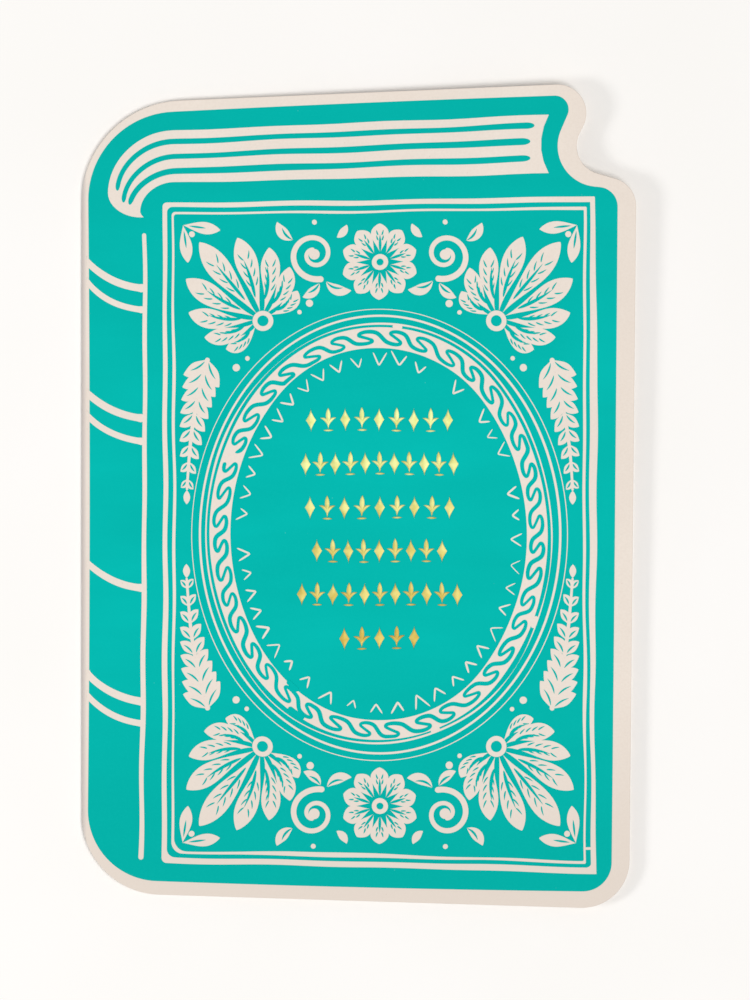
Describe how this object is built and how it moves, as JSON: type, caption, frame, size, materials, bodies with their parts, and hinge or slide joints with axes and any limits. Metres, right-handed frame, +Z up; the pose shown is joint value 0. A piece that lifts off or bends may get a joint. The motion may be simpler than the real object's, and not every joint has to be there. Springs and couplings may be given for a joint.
{
  "type": "greeting card",
  "caption": "Folded greeting card die-cut to the outline of a closed book, with a printed cover and rows of foil, lying on its back leaf with the front leaf sprung a little open.",
  "frame": {"origin": "on the surface the card lies on, under the middle of the card", "axes": "+X from the fold to the fore-edge, +Y from the tail to the head, +Z up through the back leaf and then the front leaf"},
  "size_m": [0.1215, 0.1803, 0.0061],
  "materials": {
    "board": "matt uncoated cream card stock",
    "teal_ink": "flat teal print",
    "gold_foil": "hot-stamped pale gold foil"
  },
  "bodies": {
    "root": {"card": "board", "cover_ink": "teal_ink", "foil_ornament": "gold_foil"}
  },
  "joints": []
}
